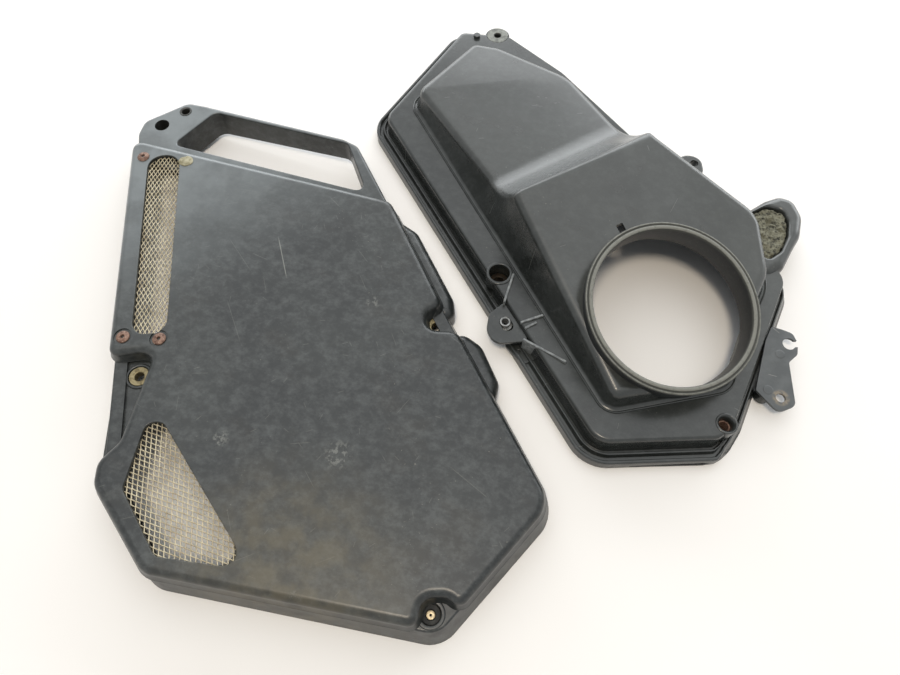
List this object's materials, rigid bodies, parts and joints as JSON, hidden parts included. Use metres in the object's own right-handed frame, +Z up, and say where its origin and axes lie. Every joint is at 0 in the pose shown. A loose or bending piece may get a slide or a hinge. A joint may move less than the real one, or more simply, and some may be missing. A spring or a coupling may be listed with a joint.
{
  "type": "motorcycle air filter box",
  "caption": "Two-part moulded air filter box for a motorcycle, shown taken apart: a cover with wire-mesh inlets over a paper element, and a scooped case with a round intake collar.",
  "frame": {"origin": "bottom centre of the box round both halves, on the surface they lie on", "axes": "+Z up out of that surface, +X from the cover to the case, +Y away from the viewer"},
  "size_m": [0.5324, 0.5262, 0.0728],
  "materials": {
    "cover_plastic": "aged satin black, scratched",
    "case_plastic": "half-gloss black",
    "mesh_wire": "zinc-plated wire, dusty",
    "backing_steel": "black paint",
    "rivet_steel": "rusted",
    "bush_brass": "dull",
    "washer_steel": "zinc-plated, dull",
    "seal_rubber": "matt",
    "collar_rubber": "worn matt",
    "bracket_steel": "black paint, worn",
    "filter_paper": "resin-treated",
    "filter_plastic": "moulded",
    "sealant": "dried cream sealant",
    "foam": "crumbling foam"
  },
  "bodies": {
    "case": {"case_body": "case_plastic", "case_seal": "seal_rubber", "intake_collar": "collar_rubber", "tab_washer": "washer_steel", "pocket_bush": "bush_brass", "corner_insert": "bush_brass", "steel_bracket": "bracket_steel", "bracket_rivet_1": "washer_steel", "bracket_rivet_2": "washer_steel", "foam_pad": "foam"},
    "sleeve": {"lug_sleeve": "bush_brass"},
    "cover": {"cover_panel": "cover_plastic", "cover_carrier": "cover_plastic", "upper_mesh": "mesh_wire", "lower_mesh": "mesh_wire", "upper_backing": "backing_steel", "lower_backing": "backing_steel", "rivet_1": "rivet_steel", "rivet_2": "rivet_steel", "rivet_3": "rivet_steel", "sealant_dab": "sealant", "left_bush": "bush_brass", "right_bush": "bush_brass", "loop_insert": "washer_steel", "corner_grommet": "seal_rubber", "corner_sleeve": "washer_steel"},
    "filter": {"filter_frame": "filter_plastic", "filter_seal": "seal_rubber", "filter_paper": "filter_paper"}
  },
  "joints": [
    {"name": "cover_lift", "type": "slide", "parent": "case", "child": "cover", "axis": [0, 0, 1], "range_m": [0, 0.15]},
    {"name": "filter_pull", "type": "slide", "parent": "cover", "child": "filter", "axis": [0, 0, -1], "range_m": [0, 0.05]},
    {"name": "sleeve_slide", "type": "slide", "parent": "case", "child": "sleeve", "axis": [0.46, -0.8879, 0], "range_m": [0, 0.0036]}
  ]
}
